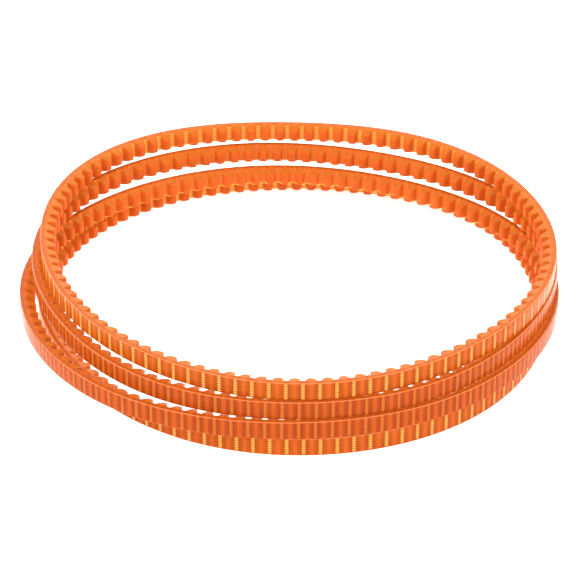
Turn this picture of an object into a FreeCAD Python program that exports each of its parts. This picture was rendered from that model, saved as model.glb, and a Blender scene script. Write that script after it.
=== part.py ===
import FreeCAD, Part
import math
import os

# A matched set of four endless cogged V belts, lying on their sides in a loose stack.
# Frame: millimetres, +Z up, z = 0 on the flat surface the set rests on.
# The origin is the middle of the set's footprint; -Y is the front of the set.
# Each belt is a cast ring with 100 cogs on its inside and one cord wound inside its web.

VERTICAL = FreeCAD.Vector(0, 0, 1)

doc = FreeCAD.newDocument("cogged_v_belt_set")

# ---------------------------------------------------------------- driving sizes

SECTION_SIZES = (
    ("belt_width", 5.0, "width over the straight back part"),
    ("belt_depth", 4.0, "from the back to the cog tips"),
    ("web_depth", 1.4, "from the back to the floor between cogs"),
    ("tip_width", 3.2, "width across a cog tip, set by the V flanks"),
    ("cog_count", 100, "cogs round one belt"),
    ("cog_root", 2.9, "cog length along the belt at the web"),
    ("cog_tip", 1.7, "cog length along the belt at the tip"),
    ("cord_line", 412.0, "length of the belt measured on the cord"),
    ("cord_depth", 0.9, "from the back to the middle of the cord"),
    ("cord_thick", 0.36, "diameter of the tensile cord"),
    ("cord_turns", 6, "turns of the cord across the width"),
    ("cord_margin", 0.1, "left between the winding and each side of the belt"),
    ("stack_gap", 0.1, "height kept free between one belt and the next"),
)

# How each free belt lies: middle x, middle y, then pairs of terms with two, three, four and
# five sides, as shares of the radius, and last the shift of the cogs along the belt.
LIE_WORDS = ("mid_x", "mid_y", "oval_a", "oval_b", "tri_a", "tri_b",
             "quad_a", "quad_b", "five_a", "five_b", "shift")
LIES = (
    ("belt_1", (1.73, 0.54, 0.0246, -0.0069, -0.0056, 0.0179, -0.0042, -0.0010, -0.0030, 0.0011, 1.81)),
    ("belt_2", (-0.40, -3.37, 0.0681, -0.0054, 0.0061, 0.0031, 0.0026, 0.0016, 0.0001, 0.0034, 2.58)),
    ("belt_3", (0.82, 0.09, 0.0455, -0.0181, 0.0096, 0.0204, -0.0020, 0.0011, 0.0003, 0.0051, 1.39)),
    ("belt_4", (1.68, 2.89, 0.0276, -0.0221, 0.0075, 0.0242, -0.0053, -0.0036, 0.0028, -0.0049, 1.05)),
)
WAVES = (("oval", 2), ("tri", 3), ("quad", 4), ("five", 5))

SPLINE_POINTS = 60
BACK_POINTS = 100
CORD_RUNS_PER_TURN = 60
CORD_SIDES = 6

sizes = doc.addObject("Spreadsheet::Sheet", "sizes")
row = 0


def add_size(word, value, note):
    """Write one size into the sheet with its alias and its note."""
    global row
    row = row + 1
    sizes.set("A%d" % row, word)
    sizes.set("B%d" % row, str(value))
    sizes.set("C%d" % row, note)
    sizes.setAlias("B%d" % row, word)


for word, value, note in SECTION_SIZES:
    add_size(word, value, note)
for belt, values in LIES:
    for word, value in zip(LIE_WORDS, values):
        add_size(belt + "_" + word, value, "lie of " + belt)
doc.recompute()


def size(word):
    """Read one size back from the sheet."""
    return float(sizes.get(word))


# ---------------------------------------------------------------- the path of a belt


class BeltPath:
    """The closed path of the cord line of one belt, in the belt's own middle plane."""

    def __init__(self, belt):
        self.shift = size(belt + "_shift")
        self.length = size("cord_line")
        radius = self.length / (2 * math.pi)
        rough = []
        for index in range(SPLINE_POINTS):
            angle = 2 * math.pi * index / SPLINE_POINTS
            share = 1
            for wave, sides in WAVES:
                share = share + size("%s_%s_a" % (belt, wave)) * math.cos(sides * angle)
                share = share + size("%s_%s_b" % (belt, wave)) * math.sin(sides * angle)
            reach = radius * share
            rough.append(FreeCAD.Vector(reach * math.cos(angle), reach * math.sin(angle), 0))
        first = Part.BSplineCurve()
        first.interpolate(rough, PeriodicFlag=True)
        scale = self.length / first.length()
        self.curve = Part.BSplineCurve()
        self.curve.interpolate([point * scale for point in rough], PeriodicFlag=True)

    def at(self, run, along, depth, height):
        """Give the point at a distance round the path, shifted along, inwards and up."""
        travel = (run + self.shift) % self.length
        place = self.curve.FirstParameter
        if travel > 1e-6:
            place = self.curve.parameterAtDistance(travel, self.curve.FirstParameter)
        tangent = self.curve.tangent(place)[0]
        outward = tangent.cross(VERTICAL)
        outward.normalize()
        point = self.curve.value(place)
        point = point + outward * (size("cord_depth") - depth) + tangent * along
        return FreeCAD.Vector(point.x, point.y, height)


# ---------------------------------------------------------------- the cast body


def flat_face(*corners):
    """Make one flat face from its corners."""
    return Part.Face(Part.makePolygon(list(corners) + [corners[0]]))


def lifted(point, height):
    """Give the same point at another height."""
    return FreeCAD.Vector(point.x, point.y, height)


def cog_faces(root, tip, half_width, half_tip):
    """Make the six-sided cog without its root: two ends, the tip and two V flanks."""
    start, finish = root
    tip_start, tip_finish = tip
    faces = []
    for low, high in ((start, tip_start), (finish, tip_finish)):
        faces.append(flat_face(lifted(low, -half_width), lifted(high, -half_tip),
                               lifted(high, half_tip), lifted(low, half_width)))
    faces.append(flat_face(lifted(tip_start, -half_tip), lifted(tip_finish, -half_tip),
                           lifted(tip_finish, half_tip), lifted(tip_start, half_tip)))
    for root_height, tip_height in ((half_width, half_tip), (-half_width, -half_tip)):
        faces.append(flat_face(lifted(start, root_height), lifted(tip_start, tip_height),
                               lifted(tip_finish, tip_height), lifted(finish, root_height)))
    return faces


def cast_ring(path):
    """Build the cogged ring; the cord is cast into its web, so no tunnel is cut for it."""
    half_width = size("belt_width") / 2
    half_tip = size("tip_width") / 2
    half_root_run = size("cog_root") / 2
    half_tip_run = size("cog_tip") / 2
    count = int(size("cog_count"))
    step = path.length / count
    roots = []
    tips = []
    for index in range(count):
        run = (index + 0.5) * step
        roots.append((path.at(run, -half_root_run, size("web_depth"), 0),
                      path.at(run, half_root_run, size("web_depth"), 0)))
        tips.append((path.at(run, -half_tip_run, size("belt_depth"), 0),
                     path.at(run, half_tip_run, size("belt_depth"), 0)))
    back_points = []
    for index in range(BACK_POINTS):
        back_points.append(path.at(path.length * index / BACK_POINTS, 0, 0, 0))
    back_curve = Part.BSplineCurve()
    back_curve.interpolate(back_points, PeriodicFlag=True)
    back = Part.Wire([back_curve.toShape()])
    corners = []
    for root in roots:
        corners.extend(root)
    inside = Part.makePolygon(corners + [corners[0]])
    land = Part.makeFace([back, inside], "Part::FaceMakerBullseye")
    faces = [land.translated(VERTICAL * half_width), land.translated(VERTICAL * -half_width)]
    faces.extend(back.translated(VERTICAL * -half_width).extrude(VERTICAL * 2 * half_width).Faces)
    for index in range(count):
        finish = roots[index][1]
        start = roots[(index + 1) % count][0]
        faces.append(flat_face(lifted(finish, -half_width), lifted(start, -half_width),
                               lifted(start, half_width), lifted(finish, half_width)))
        faces.extend(cog_faces(roots[index], tips[index], half_width, half_tip))
    shell = Part.makeShell(faces)
    shell.sewShape()
    return Part.makeSolid(shell)


# ---------------------------------------------------------------- the wound cord


def next_ring(ring, spot, run, plane):
    """Carry the cord's six corners along one straight run to the plane of the next bend."""
    moved = []
    for corner in ring:
        reach = (spot - corner).dot(plane) / run.dot(plane)
        moved.append(corner + run * reach)
    return moved


def wound_cord(path):
    """Build the cord along its winding, from a cut end at one side of the belt to the other."""
    turns = size("cord_turns")
    rise = size("belt_width") - size("cord_thick") - 2 * size("cord_margin")
    steps = int(CORD_RUNS_PER_TURN * turns)
    spots = []
    for index in range(steps + 1):
        share = index / steps
        spots.append(path.at(path.length * turns * share, 0, size("cord_depth"), rise * (share - 0.5)))
    runs = []
    for index in range(steps):
        run = spots[index + 1] - spots[index]
        run.normalize()
        runs.append(run)
    side = runs[0].cross(VERTICAL)
    side.normalize()
    upward = side.cross(runs[0])
    ring = []
    for corner in range(CORD_SIDES):
        turn = 2 * math.pi * corner / CORD_SIDES
        reach = size("cord_thick") / 2
        ring.append(spots[0] + side * (reach * math.cos(turn)) + upward * (reach * math.sin(turn)))
    faces = [flat_face(*ring)]
    for index in range(steps):
        plane = runs[index]
        if index + 1 < steps:
            plane = runs[index] + runs[index + 1]
            plane.normalize()
        ahead = next_ring(ring, spots[index + 1], runs[index], plane)
        for corner in range(CORD_SIDES):
            beside = (corner + 1) % CORD_SIDES
            faces.append(flat_face(ring[corner], ring[beside], ahead[beside], ahead[corner]))
        ring = ahead
    faces.append(flat_face(*ring))
    shell = Part.makeShell(faces)
    shell.sewShape()
    return Part.makeSolid(shell)


# ---------------------------------------------------------------- the set

parts = []


def add_part(name, belt, level, shape):
    """Add one named piece at the lie of its belt, so many belts up the stack, bound to the sheet."""
    piece = doc.addObject("Part::Feature", name)
    piece.Label = name
    piece.Shape = shape
    middle = level * (size("belt_width") + size("stack_gap")) + size("belt_width") / 2
    spot = FreeCAD.Vector(size(belt + "_mid_x"), size(belt + "_mid_y"), middle)
    piece.Placement = FreeCAD.Placement(spot, FreeCAD.Rotation())
    piece.setExpression("Placement.Base.x", "sizes.%s_mid_x" % belt)
    piece.setExpression("Placement.Base.y", "sizes.%s_mid_y" % belt)
    height = "%d * (sizes.belt_width + sizes.stack_gap) + sizes.belt_width / 2" % level
    piece.setExpression("Placement.Base.z", height)
    parts.append(piece)


for level, (belt, values) in enumerate(LIES):
    path = BeltPath(belt)
    cord = wound_cord(path)
    body = cast_ring(path)
    add_part(belt + "_body", belt, level, body)
    add_part(belt + "_cord", belt, level, cord)

doc.recompute()

# ---------------------------------------------------------------- checks and export

for thing in doc.Objects:
    for state in thing.State:
        if state in ("Invalid", "Error"):
            raise RuntimeError("%s is %s" % (thing.Label, state))

os.makedirs("parts", exist_ok=True)
for piece in parts:
    if piece.Shape.isNull() or not piece.Shape.isValid():
        raise RuntimeError("%s has no valid shape" % piece.Label)
    if len(piece.Shape.Solids) != 1:
        raise RuntimeError("%s is not one solid" % piece.Label)
    piece.Shape.exportStep("parts/%s.step" % piece.Label)
    box = piece.Shape.BoundBox
    print("%-12s volume %9.2f  x %7.2f %7.2f  y %7.2f %7.2f  z %6.2f %6.2f" % (
        piece.Label, piece.Shape.Volume, box.XMin, box.XMax, box.YMin, box.YMax, box.ZMin, box.ZMax))
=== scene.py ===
"""Looks of a set of four cast polyurethane cogged V belts lying in a loose stack.

Every belt is one smooth endless ring with rounded cogs on its inside, and a cream cord
wound six times round inside its web. All lengths are in metres, in the frame's own axes.
"""

import logging
import math
from dataclasses import dataclass
from enum import Enum

import bmesh
import bpy
import numpy as np
from mathutils import Matrix, Vector


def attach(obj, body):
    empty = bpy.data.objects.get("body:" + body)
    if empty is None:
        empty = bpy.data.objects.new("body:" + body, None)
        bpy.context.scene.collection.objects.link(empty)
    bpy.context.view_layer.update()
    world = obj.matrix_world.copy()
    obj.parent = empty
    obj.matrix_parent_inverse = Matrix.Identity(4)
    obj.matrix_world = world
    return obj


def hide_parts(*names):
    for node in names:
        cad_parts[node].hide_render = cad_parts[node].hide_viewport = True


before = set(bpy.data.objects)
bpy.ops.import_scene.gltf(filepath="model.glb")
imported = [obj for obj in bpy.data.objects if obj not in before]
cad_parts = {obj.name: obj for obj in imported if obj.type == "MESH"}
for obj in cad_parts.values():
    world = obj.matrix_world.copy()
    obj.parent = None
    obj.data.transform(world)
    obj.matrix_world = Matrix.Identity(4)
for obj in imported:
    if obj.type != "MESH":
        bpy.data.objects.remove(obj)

MM = 0.001
# The length that one unit of a casting's surface coordinates stands for.
MARK_UNIT = 10.0 * MM
LOG = logging.getLogger("belts")

Pair = tuple[float, float]
Triple = tuple[float, float, float]
Colour = Triple


class Slot(Enum):
    """The record's material slots."""

    CASTING = "cast_polyurethane"
    CORD = "tensile_cord"


class StackRow(Enum):
    """The belts of the stack, lowest first."""

    FIRST = "belt_1"
    SECOND = "belt_2"
    THIRD = "belt_3"
    FOURTH = "belt_4"


@dataclass(frozen=True)
class BeltSection:
    """Sizes of the belt's section and of its cogs, shared by the whole set."""

    width: float = 5.0 * MM
    depth: float = 4.0 * MM
    web: float = 1.4 * MM
    tip_width: float = 3.2 * MM
    cog_count: int = 100
    cog_root: float = 2.9 * MM
    cog_tip: float = 1.7 * MM
    cord_line: float = 412.0 * MM
    cord_depth: float = 0.9 * MM
    cord_thick: float = 0.36 * MM
    cord_turns: int = 6
    cord_margin: float = 0.1 * MM
    stack_gap: float = 0.1 * MM
    back_round: float = 0.22 * MM
    cog_round: float = 0.26 * MM
    tip_round: float = 0.75 * MM
    root_round: float = 0.45 * MM

    @property
    def step(self) -> float:
        """Distance from one cog to the next, on the cord line."""
        return self.cord_line / self.cog_count

    @property
    def cord_pitch(self) -> float:
        """Distance across the belt from one turn of the cord to the next."""
        return (self.width - self.cord_thick - 2 * self.cord_margin) / self.cord_turns

    def half_width_at(self, depth: float) -> float:
        """Give half the section's width at a depth below the back.

        Args:
            depth: Distance in from the back.

        Returns:
            Half the width there: straight over the web, then narrowing to the tip.
        """
        share = max(0.0, depth - self.web) / (self.depth - self.web)
        return self.width / 2 - share * (self.width - self.tip_width) / 2


@dataclass(frozen=True)
class BeltLie:
    """How one free belt lies in the stack.

    The waves are shares of the loop's radius. Each pair is the cosine and the sine term of a
    shape with two sides, then three, four and five. The shift moves the cogs along the belt.
    """

    level: int
    mid_x: float
    mid_y: float
    waves: tuple[Pair, ...]
    shift: float

    def placement(self, section: BeltSection) -> Matrix:
        """Give the matrix that puts a belt built in its own middle plane in its place.

        Args:
            section: The belt's section, for its width and the gap in the stack.

        Returns:
            The placement.
        """
        middle = self.level * (section.width + section.stack_gap) + section.width / 2
        return Matrix.Translation(Vector((self.mid_x, self.mid_y, middle)))


LIES = {
    StackRow.FIRST: BeltLie(
        level=0,
        mid_x=1.73 * MM,
        mid_y=0.54 * MM,
        waves=((0.0246, -0.0069), (-0.0056, 0.0179), (-0.0042, -0.0010), (-0.0030, 0.0011)),
        shift=1.81 * MM,
    ),
    StackRow.SECOND: BeltLie(
        level=1,
        mid_x=-0.40 * MM,
        mid_y=-3.37 * MM,
        waves=((0.0681, -0.0054), (0.0061, 0.0031), (0.0026, 0.0016), (0.0001, 0.0034)),
        shift=2.58 * MM,
    ),
    StackRow.THIRD: BeltLie(
        level=2,
        mid_x=0.82 * MM,
        mid_y=0.09 * MM,
        waves=((0.0455, -0.0181), (0.0096, 0.0204), (-0.0020, 0.0011), (0.0003, 0.0051)),
        shift=1.39 * MM,
    ),
    StackRow.FOURTH: BeltLie(
        level=3,
        mid_x=1.68 * MM,
        mid_y=2.89 * MM,
        waves=((0.0276, -0.0221), (0.0075, 0.0242), (-0.0053, -0.0036), (0.0028, -0.0049)),
        shift=1.05 * MM,
    ),
}


class BeltPath:
    """The closed cord line of one belt, in the belt's own middle plane."""

    FINE_STEPS = 7200

    def __init__(self, section: BeltSection, lie: BeltLie) -> None:
        """Lay the path out and scale it to the belt's length.

        Args:
            section: The belt's section, for its length and cord depth.
            lie: The lie, for the loop's shape and the shift of the cogs.
        """
        self.section = section
        self.shift = lie.shift
        angle = np.linspace(0.0, 2.0 * math.pi, self.FINE_STEPS + 1)
        reach = np.ones_like(angle)
        for sides, (even, odd) in enumerate(lie.waves, start=2):
            reach = reach + even * np.cos(sides * angle) + odd * np.sin(sides * angle)
        line = np.stack([reach * np.cos(angle), reach * np.sin(angle)], axis=1)
        legs = np.linalg.norm(np.diff(line, axis=0), axis=1)
        run = np.concatenate([[0.0], np.cumsum(legs)])
        scale = section.cord_line / run[-1]
        self.line = line * scale
        self.run = run * scale
        ahead = np.roll(self.line[:-1], -1, axis=0) - np.roll(self.line[:-1], 1, axis=0)
        ahead = ahead / np.linalg.norm(ahead, axis=1)[:, None]
        self.ahead = np.vstack([ahead, ahead[:1]])

    def points(self, along: np.ndarray, depth: np.ndarray, height: np.ndarray) -> np.ndarray:
        """Give points of the belt.

        Args:
            along: Distances round the cord line.
            depth: Depths in from the back.
            height: Heights over the belt's middle plane.

        Returns:
            One row of x, y and z for each entry.
        """
        travel = np.mod(along + self.shift, self.section.cord_line)
        spot = np.stack([np.interp(travel, self.run, self.line[:, k]) for k in (0, 1)], axis=-1)
        ahead = np.stack([np.interp(travel, self.run, self.ahead[:, k]) for k in (0, 1)], axis=-1)
        ahead = ahead / np.linalg.norm(ahead, axis=-1)[..., None]
        outward = np.stack([ahead[..., 1], -ahead[..., 0]], axis=-1)
        spot = spot + outward * (self.section.cord_depth - depth)[..., None]
        return np.concatenate([spot, height[..., None]], axis=-1)


class CogOutline:
    """The rounded outline of one cog and its gap, as distance along and depth."""

    ARC_STEPS = 4
    LONG_STRAIGHT = 0.3 * MM
    FANNED_SHARE = 0.25

    def __init__(self, section: BeltSection) -> None:
        """Draw the outline from the middle of one gap to the middle of the next.

        Args:
            section: The belt's section, for the cog's sizes.
        """
        half = section.step / 2
        corners = [
            (-half, section.web, 0.0),
            (-section.cog_root / 2, section.web, section.root_round),
            (-section.cog_tip / 2, section.depth, section.tip_round),
            (section.cog_tip / 2, section.depth, section.tip_round),
            (section.cog_root / 2, section.web, section.root_round),
            (half, section.web, 0.0),
        ]
        points: list[Pair] = []
        for index, (run, depth, radius) in enumerate(corners):
            if radius == 0.0:
                points.append((run, depth))
                continue
            here = Vector((run, depth))
            back = (Vector(corners[index - 1][:2]) - here).normalized()
            ahead = (Vector(corners[index + 1][:2]) - here).normalized()
            points.extend(self.rounded(here, back, ahead, radius))
        self.points = np.array(self.filled(points))
        self.base = self.base_runs(section)
        self.normals = self.outward_normals()

    @staticmethod
    def rounded(corner: Vector, back: Vector, ahead: Vector, radius: float) -> list[Pair]:
        """Round one corner.

        Args:
            corner: The sharp corner.
            back: Unit direction to the corner before.
            ahead: Unit direction to the corner after.
            radius: Radius of the round.

        Returns:
            Points of the arc, in order.
        """
        half_angle = back.angle(ahead) / 2
        reach = radius / math.tan(half_angle)
        middle = corner + (back + ahead).normalized() * (radius / math.sin(half_angle))
        first = corner + back * reach - middle
        last = corner + ahead * reach - middle
        turn = math.atan2(first.x * last.y - first.y * last.x, first.dot(last))
        arc = []
        for step in range(CogOutline.ARC_STEPS + 1):
            part = turn * step / CogOutline.ARC_STEPS
            spun = Matrix.Rotation(part, 2) @ first
            arc.append((middle.x + spun.x, middle.y + spun.y))
        return arc

    @staticmethod
    def filled(points: list[Pair]) -> list[Pair]:
        """Put one more point in every long straight stretch.

        Args:
            points: The outline with bare straights.

        Returns:
            The outline, without its last point, which is the next cog's first.
        """
        out = []
        for here, following in zip(points, points[1:]):
            out.append(here)
            if math.dist(here, following) > CogOutline.LONG_STRAIGHT:
                out.append(((here[0] + following[0]) / 2, (here[1] + following[1]) / 2))
        return out

    def base_runs(self, section: BeltSection) -> np.ndarray:
        """Give where each outline point starts on the edge of the web.

        Args:
            section: The belt's section, for the cog's sizes.

        Returns:
            Distances along the belt, fanned out under the cog.
        """
        runs = self.points[:, 0]
        half_root = section.cog_root / 2
        spread = np.clip(runs * section.cog_root / section.cog_tip, -half_root, half_root)
        rise = self.points[:, 1] - section.web
        on_cog = rise > self.FANNED_SHARE * (section.depth - section.web)
        close = np.clip(runs, -section.step / 2, section.step / 2)
        return np.where(on_cog, spread, close)

    def outward_normals(self) -> np.ndarray:
        """Give the unit direction out of the material at each outline point."""
        whole_step = [2 * abs(self.points[0, 0]), 0.0]
        ahead = np.roll(self.points, -1, axis=0)
        ahead[-1] = ahead[-1] + whole_step
        before = np.roll(self.points, 1, axis=0)
        before[0] = before[0] - whole_step
        slope = ahead - before
        slope = slope / np.linalg.norm(slope, axis=1)[:, None]
        return np.stack([-slope[:, 1], slope[:, 0]], axis=1)


def new_mesh_object(
    name: str, points: np.ndarray, faces: np.ndarray, mark: np.ndarray, sunk: np.ndarray
) -> bpy.types.Object:
    """Make a mesh object from arrays.

    Args:
        name: Name of the piece.
        points: One row of x, y and z for each corner.
        faces: One row of four corner numbers for each face.
        mark: Distance along and distance across for each corner of each face.
        sunk: Depth in from the back for each corner, in millimetres.

    Returns:
        The object, linked to the scene.
    """
    mesh = bpy.data.meshes.new(name)
    mesh.from_pydata(points.tolist(), [], faces.tolist())
    layer = mesh.uv_layers.new(name="along_and_across")
    layer.data.foreach_set("uv", mark.reshape(-1).astype(np.float32))
    depths = mesh.attributes.new("sunk", "FLOAT", "POINT")
    depths.data.foreach_set("value", sunk.reshape(-1).astype(np.float32))
    piece = bpy.data.objects.new(name, mesh)
    bpy.context.scene.collection.objects.link(piece)
    return piece


def ring_faces(rings: int, corners: int) -> np.ndarray:
    """Join closed rings of corners into a closed band.

    Args:
        rings: Number of rings, the last of which meets the first.
        corners: Corners in each ring, the last of which meets the first.

    Returns:
        One row of four corner numbers for each face.
    """
    ring, corner = np.meshgrid(np.arange(rings), np.arange(corners), indexing="ij")
    after = (ring + 1) % rings
    beside = (corner + 1) % corners
    here = ring * corners
    there = after * corners
    quads = np.stack([here + corner, here + beside, there + beside, there + corner], axis=-1)
    return quads.reshape(-1, 4)


def face_outwards(work: bmesh.types.BMesh) -> None:
    """Turn all faces of a closed mesh the same way, outwards.

    Args:
        work: The closed mesh.
    """
    bmesh.ops.recalc_face_normals(work, faces=work.faces)
    if work.calc_volume(signed=True) < 0:
        bmesh.ops.reverse_faces(work, faces=work.faces)


def close_wraps(marks: np.ndarray, part: int, whole: float) -> None:
    """Carry one coordinate on past its end in the faces that meet its start.

    Args:
        marks: Coordinates for each corner of each face, changed in place.
        part: Which of the two coordinates wraps.
        whole: The length after which it wraps.
    """
    values = marks[..., part]
    wraps = values.max(axis=1) - values.min(axis=1) > whole / 2
    marks[wraps, :, part] = np.where(values[wraps] < whole / 2, values[wraps] + whole, values[wraps])


class CastBelt:
    """One cast ring with its cogs.

    The quarter turn lists the angles at which the rounds have corners. The side share is the
    depth of the last row of corners on the web's side, as a share of the web's depth. The
    shares beside the cog place two rows between the web's edge and the flank. The inner share
    places one on each half of the inner face, between its middle and its edge.
    """

    SIDE_SHARE = 0.96
    QUARTER_TURN = (30, 60, 90)
    BESIDE_COG = (0.33, 0.66)
    INNER_SHARE = 0.45
    MERGE_WITHIN = 0.004 * MM
    DROP_UNDER = 0.002 * MM
    SHARP_ANGLE = 38.0

    def __init__(self, row: StackRow, section: BeltSection) -> None:
        """Keep the belt's row, section and path.

        Args:
            row: Which belt of the stack this is.
            section: The set's section.
        """
        self.row = row
        self.section = section
        self.lie = LIES[row]
        self.path = BeltPath(section, self.lie)

    def section_rows(self, outline: CogOutline) -> tuple[np.ndarray, np.ndarray, np.ndarray]:
        """Lay the section's corners round every point of one cog's outline.

        Args:
            outline: The rounded cog.

        Returns:
            Runs, depths and heights, one row for each outline point.
        """
        half = self.section.width / 2
        edge = self.section.back_round
        small = self.section.cog_round
        rows = []
        for (run, depth), base, (turn, sink) in zip(outline.points, outline.base, outline.normals):
            side = [(base, 0.0, 0.0), (base, 0.0, half / 2), (base, 0.0, half - edge)]
            for angle in self.QUARTER_TURN:
                part = math.radians(angle)
                side.append((base, edge * (1 - math.cos(part)), half - edge + edge * math.sin(part)))
            side.append((base, self.section.web * self.SIDE_SHARE, half))
            reach = self.section.half_width_at(depth)
            low = max(depth, self.section.web)
            for share in self.BESIDE_COG:
                side.append((
                    base + (run - base) * share,
                    self.section.web + (low - self.section.web) * share,
                    half + (reach - half) * share,
                ))
            for angle in (0, *self.QUARTER_TURN):
                part = math.radians(angle)
                drop = small * (1 - math.sin(part))
                side.append((run - turn * drop, depth - sink * drop, reach - small * (1 - math.cos(part))))
            side.append((run, depth, reach * self.INNER_SHARE))
            side.append((run, depth, 0.0))
            mirrored = [(s, d, -z) for s, d, z in side[1:-1]]
            rows.append(side + mirrored[::-1])
        table = np.array(rows)
        return table[..., 0], table[..., 1], table[..., 2]

    def build(self) -> bpy.types.Object:
        """Build the ring's mesh and put it in its place.

        Returns:
            The finished, undressed piece.
        """
        outline = CogOutline(self.section)
        run, depth, height = self.section_rows(outline)
        starts = (np.arange(self.section.cog_count) + 0.5) * self.section.step
        runs = (starts[:, None, None] + run[None]).reshape(-1, run.shape[1])
        depths = np.tile(depth, (self.section.cog_count, 1))
        heights = np.tile(height, (self.section.cog_count, 1))
        points = self.path.points(runs, depths, heights).reshape(-1, 3)
        faces = ring_faces(runs.shape[0], runs.shape[1])
        corner_marks = np.stack([runs.reshape(-1), heights.reshape(-1)], axis=1) / MARK_UNIT
        marks = corner_marks[faces]
        close_wraps(marks, 0, self.section.cord_line / MARK_UNIT)
        piece = new_mesh_object(self.row.value + "_casting", points, faces, marks, depths / MM)
        self.clean(piece)
        piece.matrix_world = self.lie.placement(self.section)
        return piece

    @staticmethod
    def clean(piece: bpy.types.Object) -> None:
        """Merge the corners that meet under the cogs and smooth the faces.

        Args:
            piece: The ring as built.
        """
        work = bmesh.new()
        work.from_mesh(piece.data)
        bmesh.ops.remove_doubles(work, verts=work.verts, dist=CastBelt.MERGE_WITHIN)
        bmesh.ops.dissolve_degenerate(work, edges=work.edges, dist=CastBelt.DROP_UNDER)
        face_outwards(work)
        work.to_mesh(piece.data)
        work.free()
        piece.data.shade_smooth()
        piece.data.set_sharp_from_angle(angle=math.radians(CastBelt.SHARP_ANGLE))

    def finish(self, material: bpy.types.Material) -> None:
        """Build, dress and attach the ring.

        Args:
            material: The casting's finish.
        """
        piece = self.build()
        piece.data.materials.append(material)
        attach(piece, self.row.value)
        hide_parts(self.row.value + "_body")
        LOG.info("%s: %d faces", piece.name, len(piece.data.polygons))


class WoundCord:
    """The tensile cord inside one belt's web."""

    SIDES = 8
    PER_TURN = 300

    def __init__(self, belt: CastBelt) -> None:
        """Keep the belt that holds the cord.

        Args:
            belt: The cast ring round the cord.
        """
        self.belt = belt

    def finish(self, material: bpy.types.Material) -> None:
        """Build, dress and attach the cord.

        Args:
            material: The cord's finish.
        """
        section = self.belt.section
        count = self.PER_TURN * section.cord_turns
        share = np.linspace(0.0, 1.0, count + 1)
        around = np.arange(self.SIDES) * 2 * math.pi / self.SIDES
        radius = section.cord_thick / 2
        run = np.tile((share * section.cord_line * section.cord_turns)[:, None], (1, self.SIDES))
        depth = np.tile(section.cord_depth + radius * np.cos(around)[None], (count + 1, 1))
        rise = section.cord_pitch * section.cord_turns * (share - 0.5)
        height = rise[:, None] + radius * np.sin(around)[None]
        points = self.belt.path.points(run, depth, height).reshape(-1, 3)
        faces = ring_faces(count + 1, self.SIDES)[: count * self.SIDES]
        turned = np.tile(around / (2 * math.pi), count + 1)
        marks = np.stack([run.reshape(-1) / MM, turned], axis=1)[faces]
        close_wraps(marks, 1, 1.0)
        piece = new_mesh_object(self.belt.row.value + "_winding", points, faces, marks, depth / MM)
        self.cap(piece)
        piece.matrix_world = self.belt.lie.placement(section)
        piece.data.materials.append(material)
        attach(piece, self.belt.row.value)
        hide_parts(self.belt.row.value + "_cord")
        LOG.info("%s: %d faces", piece.name, len(piece.data.polygons))

    @staticmethod
    def cap(piece: bpy.types.Object) -> None:
        """Close the cord's two cut ends.

        Args:
            piece: The open tube.
        """
        work = bmesh.new()
        work.from_mesh(piece.data)
        rims = [edge for edge in work.edges if edge.is_boundary]
        bmesh.ops.holes_fill(work, edges=rims, sides=0)
        face_outwards(work)
        work.to_mesh(piece.data)
        work.free()
        piece.data.shade_smooth()


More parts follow.
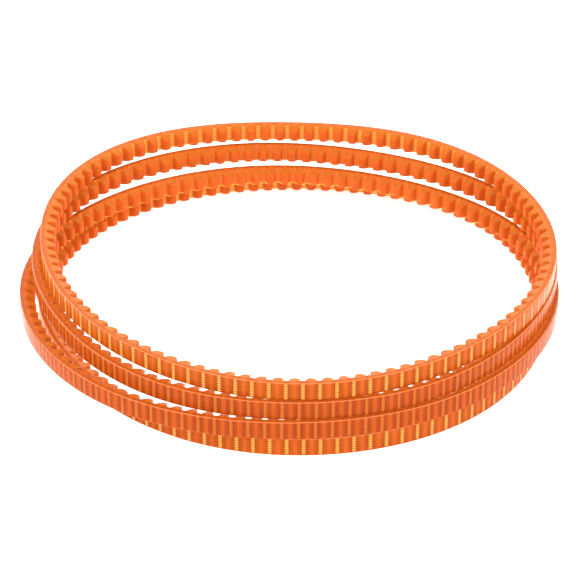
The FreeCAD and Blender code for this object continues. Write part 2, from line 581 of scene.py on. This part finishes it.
class NodeSheet:
    """Short ways to place and join the nodes of one tree."""

    MIX_UNDER = 6
    MIX_OVER = 7
    MIX_RESULT = 2

    def __init__(self, tree: bpy.types.NodeTree) -> None:
        """Keep the tree."""
        self.tree = tree

    def add(self, kind: str, **values: object) -> bpy.types.Node:
        """Place a node and set its plain properties.

        Args:
            kind: The node's type name.
            values: Properties of the node.

        Returns:
            The node.
        """
        node = self.tree.nodes.new(kind)
        for word, value in values.items():
            setattr(node, word, value)
        return node

    def join(self, source: bpy.types.NodeSocket, target: bpy.types.NodeSocket) -> None:
        """Join two sockets."""
        self.tree.links.new(source, target)

    def sum(self, operation: str, *terms: bpy.types.NodeSocket | float) -> bpy.types.NodeSocket:
        """Place one maths node.

        Args:
            operation: The maths node's operation.
            terms: Its terms, each a socket or a number.

        Returns:
            The result.
        """
        node = self.add("ShaderNodeMath", operation=operation)
        for place, term in enumerate(terms):
            if isinstance(term, (int, float)):
                node.inputs[place].default_value = term
            else:
                self.join(term, node.inputs[place])
        return node.outputs["Value"]

    def soft_step(self, source: bpy.types.NodeSocket, low: float, high: float) -> bpy.types.NodeSocket:
        """Place a smooth step from 0 to 1.

        Args:
            source: The value that runs along the step.
            low: Where the step starts.
            high: Where it ends; below low for a falling step.

        Returns:
            The mask.
        """
        node = self.add("ShaderNodeMapRange", interpolation_type="SMOOTHSTEP")
        falls = high < low
        node.inputs["From Min"].default_value = min(low, high)
        node.inputs["From Max"].default_value = max(low, high)
        node.inputs["To Min"].default_value = 1.0 if falls else 0.0
        node.inputs["To Max"].default_value = 0.0 if falls else 1.0
        self.join(source, node.inputs["Value"])
        return node.outputs["Result"]

    def blend(
        self,
        mask: bpy.types.NodeSocket,
        under: bpy.types.NodeSocket | Colour,
        over: bpy.types.NodeSocket | Colour,
    ) -> bpy.types.NodeSocket:
        """Lay one colour over another.

        Args:
            mask: How much of the upper colour shows.
            under: The lower colour.
            over: The upper colour.

        Returns:
            The mixed colour.
        """
        node = self.add("ShaderNodeMix", data_type="RGBA")
        self.join(mask, node.inputs[0])
        for place, colour in ((self.MIX_UNDER, under), (self.MIX_OVER, over)):
            if isinstance(colour, tuple):
                node.inputs[place].default_value = (*colour, 1.0)
            else:
                self.join(colour, node.inputs[place])
        return node.outputs[self.MIX_RESULT]

    def ramp(
        self, source: bpy.types.NodeSocket, edges: Pair, colours: tuple[Colour, Colour]
    ) -> bpy.types.NodeSocket:
        """Place a ramp from one colour to another.

        Args:
            source: The mask that runs along the ramp.
            edges: Where the first colour ends and where the second is full.
            colours: The two colours.

        Returns:
            The ramp's colour.
        """
        node = self.add("ShaderNodeValToRGB")
        for element, place, colour in zip(node.color_ramp.elements, edges, colours):
            element.position = place
            element.color = (*colour, 1.0)
        self.join(source, node.inputs["Fac"])
        return node.outputs["Color"]


def group_sheet(
    name: str, inputs: dict[str, float], outputs: tuple[str, ...]
) -> tuple[NodeSheet, bpy.types.Node, bpy.types.Node]:
    """Start a node group whose sockets are all plain numbers.

    Args:
        name: Name of the group.
        inputs: Name and default of each input.
        outputs: Names of the outputs.

    Returns:
        The group's sheet, its input node and its output node.
    """
    group = bpy.data.node_groups.new(name, "ShaderNodeTree")
    face = group.interface
    for word, default in inputs.items():
        socket = face.new_socket(name=word, in_out="INPUT", socket_type="NodeSocketFloat")
        socket.default_value = default
    for word in outputs:
        face.new_socket(name=word, in_out="OUTPUT", socket_type="NodeSocketFloat")
    sheet = NodeSheet(group)
    return sheet, sheet.add("NodeGroupInput"), sheet.add("NodeGroupOutput")


@dataclass(frozen=True)
class MouldedSkin:
    """A cast skin: soft clouding, flow lines, smudges and fine specks."""

    cloud_scale: float = 90.0
    cloud_detail: float = 3.0
    flow_scale: float = 3.0
    flow_detail: float = 4.0
    flow_stretch: Triple = (0.6, 22.0, 1.0)
    smudge_scale: float = 380.0
    smudge_detail: float = 5.0
    smudge_low: float = 0.3
    smudge_high: float = 0.7
    roughness_low: float = 0.12
    roughness_high: float = 0.3
    flow_share: float = 0.6
    smudge_share: float = 0.4

    def group(self) -> bpy.types.NodeTree:
        """Build the group.

        Returns:
            The group, with outputs Cloud, Roughness and Height.
        """
        inputs = {
            "Cloud Scale": self.cloud_scale,
            "Flow Scale": self.flow_scale,
            "Roughness Low": self.roughness_low,
            "Roughness High": self.roughness_high,
        }
        sheet, inlet, outlet = group_sheet("moulded_skin", inputs, ("Cloud", "Roughness", "Height"))
        spots = sheet.add("ShaderNodeTexCoord")
        cloud = sheet.add("ShaderNodeTexNoise")
        cloud.inputs["Detail"].default_value = self.cloud_detail
        sheet.join(spots.outputs["Object"], cloud.inputs["Vector"])
        sheet.join(inlet.outputs["Cloud Scale"], cloud.inputs["Scale"])
        stretch = sheet.add("ShaderNodeMapping")
        stretch.inputs["Scale"].default_value = self.flow_stretch
        sheet.join(spots.outputs["UV"], stretch.inputs["Vector"])
        flow = sheet.add("ShaderNodeTexNoise")
        flow.inputs["Detail"].default_value = self.flow_detail
        sheet.join(stretch.outputs["Vector"], flow.inputs["Vector"])
        sheet.join(inlet.outputs["Flow Scale"], flow.inputs["Scale"])
        smudge = sheet.add("ShaderNodeTexNoise")
        smudge.inputs["Scale"].default_value = self.smudge_scale
        smudge.inputs["Detail"].default_value = self.smudge_detail
        sheet.join(spots.outputs["Object"], smudge.inputs["Vector"])
        spread = sheet.add("ShaderNodeMapRange")
        spread.inputs["From Min"].default_value = self.smudge_low
        spread.inputs["From Max"].default_value = self.smudge_high
        sheet.join(smudge.outputs["Fac"], spread.inputs["Value"])
        sheet.join(inlet.outputs["Roughness Low"], spread.inputs["To Min"])
        sheet.join(inlet.outputs["Roughness High"], spread.inputs["To Max"])
        specks = sheet.sum("MULTIPLY", smudge.outputs["Fac"], self.smudge_share)
        height = sheet.sum("MULTIPLY_ADD", flow.outputs["Fac"], self.flow_share, specks)
        sheet.join(cloud.outputs["Fac"], outlet.inputs["Cloud"])
        sheet.join(spread.outputs["Result"], outlet.inputs["Roughness"])
        sheet.join(height, outlet.inputs["Height"])
        return sheet.tree


@dataclass(frozen=True)
class ThinPlaces:
    """Where the casting is thin, where the cord lies under it and where light is painted, in millimetres.

    A pair of values is where a mask starts and where it is full. Pairs named from an edge, a
    floor, a middle or a tip are measured from there. The lane's pair is in shares of the
    winding's pitch, and whole lanes are added to it so that it is never below zero.
    """

    gap_half: float = 0.16
    gap_softness: float = 0.46
    glow_from_middle: Pair = (0.75, 0.25)
    cord_lane: Pair = (0.34, 0.16)
    cord_from_edge: Pair = (0.3, 0.42)
    cog_from_floor: Pair = (0.05, 0.7)
    inner_from_floor: Pair = (0.6, 0.1)
    flank_from_tip: Pair = (-0.12, 0.05)
    back_skin: Pair = (0.3, 0.05)
    highlight_from_edge: Pair = (0.16, 0.06)
    side_from_edge: Pair = (0.25, 0.02)
    lanes_to_add: float = 10.0

    def group(self, section: BeltSection) -> bpy.types.NodeTree:
        """Build the group of masks.

        Args:
            section: The belt's section, for the cogs' and the winding's steps.

        Returns:
            The group, with outputs Gap, Core, Cord, Cog, Flank, Rim, Side and Inner.
        """
        inputs = {"Gap Half": self.gap_half, "Softness": self.gap_softness}
        outputs = ("Gap", "Cog Glow", "Cord", "Cog", "Flank", "Edge Highlight", "Side", "Inner")
        sheet, inlet, outlet = group_sheet("thin_places", inputs, outputs)
        marks = sheet.add("ShaderNodeUVMap", uv_map="along_and_across")
        parts = sheet.add("ShaderNodeSeparateXYZ")
        sheet.join(marks.outputs["UV"], parts.inputs["Vector"])
        sunk = sheet.add("ShaderNodeAttribute", attribute_name="sunk").outputs["Fac"]
        along = sheet.sum("MULTIPLY", parts.outputs["X"], MARK_UNIT / MM)
        across = sheet.sum("MULTIPLY", parts.outputs["Y"], MARK_UNIT / MM)
        reach = sheet.sum("ABSOLUTE", across)
        half_step = section.step / 2 / MM
        half_width = section.width / 2 / MM
        half_tip = section.tip_width / 2 / MM
        web = section.web / MM
        beside_gap = sheet.sum("PINGPONG", along, half_step)
        softness = inlet.outputs["Softness"]
        far_side = sheet.sum("ADD", inlet.outputs["Gap Half"], softness)
        span = sheet.sum("DIVIDE", sheet.sum("SUBTRACT", far_side, beside_gap), softness)
        beside_cord = self.beside_cord(sheet, section, along, across)
        cord = sheet.soft_step(beside_cord, *self.cord_lane)
        inside = sheet.soft_step(reach, *(half_width - edge for edge in self.cord_from_edge))
        cog = sheet.soft_step(sunk, *(web + rise for rise in self.cog_from_floor))
        sloping = sheet.soft_step(reach, *(half_tip + edge for edge in self.flank_from_tip))
        back = sheet.soft_step(sunk, *self.back_skin)
        highlight_band = sheet.soft_step(reach, *(half_width - edge for edge in self.highlight_from_edge))
        masks = {
            "Gap": sheet.soft_step(span, 0.0, 1.0),
            # Where the painted glow over the middle of each cog goes.
            "Cog Glow": sheet.soft_step(beside_gap, *(half_step - far for far in self.glow_from_middle)),
            "Cord": sheet.sum("MULTIPLY", cord, inside),
            "Cog": cog,
            # Where the painted lighter tone on the cogs' sloping flanks goes.
            "Flank": sheet.sum("MULTIPLY", cog, sloping),
            # Where the painted highlight along the back's edges goes.
            "Edge Highlight": sheet.sum("MULTIPLY", highlight_band, back),
            # Where the painted lighter tone on the flat side faces goes.
            "Side": sheet.soft_step(reach, *(half_width - edge for edge in self.side_from_edge)),
            "Inner": sheet.soft_step(sunk, *(web - rise for rise in self.inner_from_floor)),
        }
        for word, mask in masks.items():
            sheet.join(mask, outlet.inputs[word])
        return sheet.tree

    def beside_cord(
        self,
        sheet: NodeSheet,
        section: BeltSection,
        along: bpy.types.NodeSocket,
        across: bpy.types.NodeSocket,
    ) -> bpy.types.NodeSocket:
        """Give how far a point lies from the nearest turn of the cord.

        Args:
            sheet: The group's sheet.
            section: The belt's section, for the winding.
            along: Distance along the belt in millimetres.
            across: Distance across the belt in millimetres.

        Returns:
            The distance as a share of the winding's pitch, from 0 to a half.
        """
        drift = sheet.sum("MULTIPLY", along, MM / section.cord_line)
        turn = sheet.sum("DIVIDE", across, section.cord_pitch / MM)
        lane = sheet.sum("SUBTRACT", turn, drift)
        above_zero = sheet.sum("ADD", lane, self.lanes_to_add)
        return sheet.sum("PINGPONG", above_zero, 0.5)


@dataclass(frozen=True)
class CastFinish:
    """Amber translucent cast polyurethane.

    The deep, warm and tooth colours are the casting's own. The other base colours paint light
    and shade in: a glow over the middle of each cog, a darkened base in the gaps, the cord lit
    through the thin web, a lighter tone on the flat faces and a highlight along the back's edges.
    The ones named light are a painted glow. It is emitted where the casting would pass on light
    from behind, and where its hollows lie in shade.
    """

    name: str
    deep: Colour
    warm: Colour
    # A painted glow over the middle of each cog, seen through the back.
    cog_glow: Colour
    # A darkened base in the gaps, where the painted glow stands in for light through the thin web.
    gap: Colour
    # The cord seen through the thin web, and how strongly it shows. The winding is real, but its
    # brightness there is painted light passing through from behind.
    cord: Colour
    cord_show: float
    # Painted glow through the gaps, on the floors between the cogs and where the cord shows.
    gap_light: Colour
    floor_light: Colour
    cord_light: Colour
    tooth: Colour = (0.36, 0.060, 0.009)
    tooth_warm: Colour = (0.44, 0.088, 0.012)
    # Painted light: lighter, yellower tones for the cog flanks and the flat side faces, which face the
    # lamps and the bright floor.
    flank: Colour = (0.36, 0.090, 0.009)
    side: Colour = (0.36, 0.080, 0.009)
    # A painted highlight along the rounded edges of the back.
    edge_highlight: Colour = (0.62, 0.24, 0.11)
    # Painted glow: a faint fill over the whole casting, and a stronger one in the cogs.
    body_light: Colour = (0.08, 0.012, 0.001)
    tooth_light: Colour = (0.20, 0.036, 0.003)
    body_clouds: Pair = (0.32, 0.68)
    tooth_clouds: Pair = (0.3, 0.7)
    cog_glow_share: float = 0.8
    gap_share: float = 0.9
    side_share: float = 0.55
    edge_highlight_share: float = 0.85
    side_dims: float = 0.75
    bump_strength: float = 0.25
    bump_height: float = 0.05 * MM
    refraction: float = 1.5
    shine: float = 0.05
    scatter_shares: Triple = (1.0, 0.35, 0.1)
    scatter_reach: float = 1.3 * MM

    def colour_with_painted_light(
        self, sheet: NodeSheet, cloud: bpy.types.NodeSocket, place: bpy.types.Node
    ) -> bpy.types.NodeSocket:
        """Lay the casting's own colours, and the light and shade painted into them, over each other.

        Args:
            sheet: The material's sheet.
            cloud: The skin's clouding.
            place: The thin places group's node.

        Returns:
            The colour.
        """
        mask = place.outputs
        body = sheet.ramp(cloud, self.body_clouds, (self.deep, self.warm))
        tooth = sheet.ramp(cloud, self.tooth_clouds, (self.tooth, self.tooth_warm))
        # Where the cord shows through the gaps: the winding's colour, brightened as painted light.
        cord_seen = sheet.sum("MULTIPLY", mask["Cord"], mask["Gap"])
        # Painted glow over the middle of each cog, seen through the back.
        web = sheet.blend(sheet.sum("MULTIPLY", mask["Cog Glow"], self.cog_glow_share), body, self.cog_glow)
        # In the gaps the base is darkened, and the painted glow brightens them as light through the web.
        web = sheet.blend(sheet.sum("MULTIPLY", mask["Gap"], self.gap_share), web, self.gap)
        web = sheet.blend(sheet.sum("MULTIPLY", cord_seen, self.cord_show), web, self.cord)
        # Painted light: a lighter, yellower tone on the flat side faces.
        web = sheet.blend(sheet.sum("MULTIPLY", mask["Side"], self.side_share), web, self.side)
        # Painted light: a lighter, yellower tone on the cogs' sloping flanks.
        cog = sheet.blend(mask["Flank"], tooth, self.flank)
        whole = sheet.blend(mask["Cog"], web, cog)
        # A painted highlight along the rounded edges of the back.
        return sheet.blend(sheet.sum("MULTIPLY", mask["Edge Highlight"], self.edge_highlight_share), whole, self.edge_highlight)

    def painted_glow(self, sheet: NodeSheet, place: bpy.types.Node) -> bpy.types.NodeSocket:
        """Lay the colours of the painted glow over each other. It is emitted light that stands in for
        light passing through the casting from behind, and it fills the casting's shaded hollows.

        Args:
            sheet: The material's sheet.
            place: The thin places group's node.

        Returns:
            The colour.
        """
        mask = place.outputs
        # Where the cord shows through the gaps, glowing with painted light from behind.
        cord_seen = sheet.sum("MULTIPLY", mask["Cord"], mask["Gap"])
        # Painted light through the thin web in the gaps.
        web = sheet.blend(mask["Gap"], self.body_light, self.gap_light)
        # Painted fill light on the floors between the cogs, which lie in the cogs' shade.
        web = sheet.blend(mask["Inner"], web, self.floor_light)
        web = sheet.blend(sheet.sum("MULTIPLY", cord_seen, self.cord_show), web, self.cord_light)
        # The flat side faces take less of the painted glow.
        dimmed = sheet.sum("MULTIPLY", mask["Side"], self.side_dims)
        web = sheet.blend(dimmed, web, self.body_light)
        # The cogs glow with painted light.
        return sheet.blend(mask["Cog"], web, self.tooth_light)

    def material(self, skin: bpy.types.NodeTree, thin: bpy.types.NodeTree) -> bpy.types.Material:
        """Build the material.

        Args:
            skin: The moulded skin group.
            thin: The thin places group.

        Returns:
            The material.
        """
        made = bpy.data.materials.new(self.name)
        made.use_nodes = True
        sheet = NodeSheet(made.node_tree)
        made.node_tree.nodes.clear()
        out = sheet.add("ShaderNodeOutputMaterial")
        shader = sheet.add("ShaderNodeBsdfPrincipled")
        grain = sheet.add("ShaderNodeGroup", node_tree=skin)
        place = sheet.add("ShaderNodeGroup", node_tree=thin)
        colour = self.colour_with_painted_light(sheet, grain.outputs["Cloud"], place)
        sheet.join(colour, shader.inputs["Base Color"])
        # The emission is painted light, a glow in place of light passing through the casting.
        sheet.join(self.painted_glow(sheet, place), shader.inputs["Emission Color"])
        shader.inputs["Emission Strength"].default_value = 1.0
        sheet.join(grain.outputs["Roughness"], shader.inputs["Roughness"])
        bump = sheet.add("ShaderNodeBump")
        bump.inputs["Strength"].default_value = self.bump_strength
        bump.inputs["Distance"].default_value = self.bump_height
        sheet.join(grain.outputs["Height"], bump.inputs["Height"])
        sheet.join(bump.outputs["Normal"], shader.inputs["Normal"])
        shader.inputs["IOR"].default_value = self.refraction
        shader.inputs["Specular IOR Level"].default_value = self.shine
        shader.inputs["Subsurface Weight"].default_value = 1.0
        shader.inputs["Subsurface Radius"].default_value = self.scatter_shares
        shader.inputs["Subsurface Scale"].default_value = self.scatter_reach
        sheet.join(shader.outputs["BSDF"], out.inputs["Surface"])
        return made


# One casting painted twice. The first copy paints strong light through the thin web and a bright cord
# behind it. The second is darker, with painted shade and little light through it.
BACKLIT_CAST = CastFinish(
    name="cast_polyurethane_backlit",
    deep=(0.31, 0.050, 0.005),
    warm=(0.36, 0.062, 0.006),
    cog_glow=(0.42, 0.098, 0.008),
    gap=(0.19, 0.050, 0.006),
    cord=(0.27, 0.14, 0.035),
    cord_show=0.9,
    gap_light=(0.60, 0.155, 0.014),
    floor_light=(0.68, 0.170, 0.022),
    cord_light=(0.92, 0.47, 0.11),
)
SHADED_CAST = CastFinish(
    name="cast_polyurethane_shaded",
    deep=(0.26, 0.035, 0.004),
    warm=(0.30, 0.045, 0.006),
    cog_glow=(0.40, 0.080, 0.008),
    gap=(0.18, 0.038, 0.005),
    cord=(0.22, 0.07, 0.012),
    cord_show=0.35,
    gap_light=(0.44, 0.098, 0.010),
    floor_light=(0.68, 0.130, 0.022),
    cord_light=(0.66, 0.22, 0.040),
)
# The lowest and the highest belt take the copy lit from behind. The two middle belts take the copy painted
# in shade.
FINISHES = {
    StackRow.FIRST: BACKLIT_CAST,
    StackRow.SECOND: SHADED_CAST,
    StackRow.THIRD: SHADED_CAST,
    StackRow.FOURTH: BACKLIT_CAST,
}


@dataclass(frozen=True)
class CordFinish:
    """Cream twisted tensile cord."""

    light: Colour = (0.95, 0.82, 0.58)
    shade: Colour = (0.72, 0.52, 0.30)
    strand_edges: Pair = (0.2, 0.6)
    twist_scale: float = 0.9
    twist_waver: float = 0.6
    bump_strength: float = 0.5
    bump_height: float = 0.04 * MM
    roughness: float = 0.6

    def material(self) -> bpy.types.Material:
        """Build the material.

        Returns:
            The material.
        """
        made = bpy.data.materials.new("tensile_cord")
        made.use_nodes = True
        sheet = NodeSheet(made.node_tree)
        made.node_tree.nodes.clear()
        out = sheet.add("ShaderNodeOutputMaterial")
        shader = sheet.add("ShaderNodeBsdfPrincipled")
        spots = sheet.add("ShaderNodeTexCoord")
        twist = sheet.add("ShaderNodeTexWave", wave_type="BANDS", bands_direction="DIAGONAL")
        twist.inputs["Scale"].default_value = self.twist_scale
        twist.inputs["Distortion"].default_value = self.twist_waver
        sheet.join(spots.outputs["UV"], twist.inputs["Vector"])
        colour = sheet.ramp(twist.outputs["Fac"], self.strand_edges, (self.shade, self.light))
        sheet.join(colour, shader.inputs["Base Color"])
        bump = sheet.add("ShaderNodeBump")
        bump.inputs["Strength"].default_value = self.bump_strength
        bump.inputs["Distance"].default_value = self.bump_height
        sheet.join(twist.outputs["Fac"], bump.inputs["Height"])
        sheet.join(bump.outputs["Normal"], shader.inputs["Normal"])
        shader.inputs["Roughness"].default_value = self.roughness
        sheet.join(shader.outputs["BSDF"], out.inputs["Surface"])
        return made


@dataclass(frozen=True)
class Lamp:
    """One soft square light that faces the set."""

    name: str
    place: Triple
    side: float
    power: float
    facing: Triple = (0.0, 0.0, 10.0 * MM)

    def hang(self) -> None:
        """Hang the light in its place."""
        data = bpy.data.lights.new(self.name, "AREA")
        data.size = self.side
        data.energy = self.power
        lamp = bpy.data.objects.new(self.name, data)
        bpy.context.scene.collection.objects.link(lamp)
        lamp.location = self.place
        away = Vector(self.facing) - Vector(self.place)
        lamp.rotation_euler = away.to_track_quat("-Z", "Y").to_euler()


@dataclass(frozen=True)
class Studio:
    """Floor, light and camera."""

    lamps: tuple[Lamp, ...] = (
        Lamp("key", (-0.5, -0.35, 0.9), 0.8, 9.0),
        Lamp("fill", (0.8, -0.2, 0.6), 0.8, 5.0),
        Lamp("back", (0.1, 0.9, 0.7), 1.0, 8.0),
    )
    air_light: float = 1.2
    floor_reach: float = 6.0
    floor_drop: float = 0.05 * MM
    floor_shade: float = 0.95
    floor_roughness: float = 0.9
    floor_shine: float = 0.1
    floor_light: float = 0.7
    aim: Triple = (0.199 * MM, 9.714 * MM, 0.0)
    elevation: float = 33.146
    distance: float = 0.7624
    lens: float = 176.3
    sensor: float = 36.0
    clip_start: float = 0.05
    clip_end: float = 50.0

    def build(self) -> None:
        """Build the floor, the lights and the camera."""
        self.floor()
        for lamp in self.lamps:
            lamp.hang()
        world = bpy.data.worlds.new("studio_air")
        world.use_nodes = True
        air = world.node_tree.nodes["Background"]
        air.inputs["Color"].default_value = (1.0, 1.0, 1.0, 1.0)
        air.inputs["Strength"].default_value = self.air_light
        bpy.context.scene.world = world
        bpy.context.scene.view_settings.view_transform = "Standard"
        self.camera()

    def floor(self) -> None:
        """Lay a plain pale floor just under the set."""
        mesh = bpy.data.meshes.new("floor")
        far = self.floor_reach
        corners = [(-far, -far, 0), (far, -far, 0), (far, far, 0), (-far, far, 0)]
        mesh.from_pydata(corners, [], [(0, 1, 2, 3)])
        floor = bpy.data.objects.new("floor", mesh)
        bpy.context.scene.collection.objects.link(floor)
        floor.location.z = -self.floor_drop
        paint = bpy.data.materials.new("floor_white")
        paint.use_nodes = True
        shader = paint.node_tree.nodes["Principled BSDF"]
        shade = self.floor_shade
        shader.inputs["Base Color"].default_value = (shade, shade, shade, 1.0)
        shader.inputs["Roughness"].default_value = self.floor_roughness
        shader.inputs["Specular IOR Level"].default_value = self.floor_shine
        shader.inputs["Emission Color"].default_value = (1.0, 1.0, 1.0, 1.0)
        shader.inputs["Emission Strength"].default_value = self.floor_light
        mesh.materials.append(paint)

    def camera(self) -> None:
        """Set the camera with its long lens."""
        data = bpy.data.cameras.new("camera")
        data.lens = self.lens
        data.sensor_width = self.sensor
        data.clip_start = self.clip_start
        data.clip_end = self.clip_end
        camera = bpy.data.objects.new("camera", data)
        bpy.context.scene.collection.objects.link(camera)
        rise = math.radians(self.elevation)
        back = Vector((0.0, -math.cos(rise), math.sin(rise)))
        camera.location = Vector(self.aim) + back * self.distance
        camera.rotation_euler = (-back).to_track_quat("-Z", "Y").to_euler()
        bpy.context.scene.camera = camera


def main() -> None:
    """Build the set in order."""
    logging.basicConfig(level=logging.INFO, format="%(message)s")
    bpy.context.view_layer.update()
    section = BeltSection()
    skin = MouldedSkin().group()
    thin = ThinPlaces().group(section)
    castings = {finish.name: finish.material(skin, thin) for finish in (BACKLIT_CAST, SHADED_CAST)}
    cord = CordFinish().material()
    for row in StackRow:
        belt = CastBelt(row, section)
        belt.finish(castings[FINISHES[row].name])
        WoundCord(belt).finish(cord)
    Studio().build()


if __name__ == "__main__":
    main()
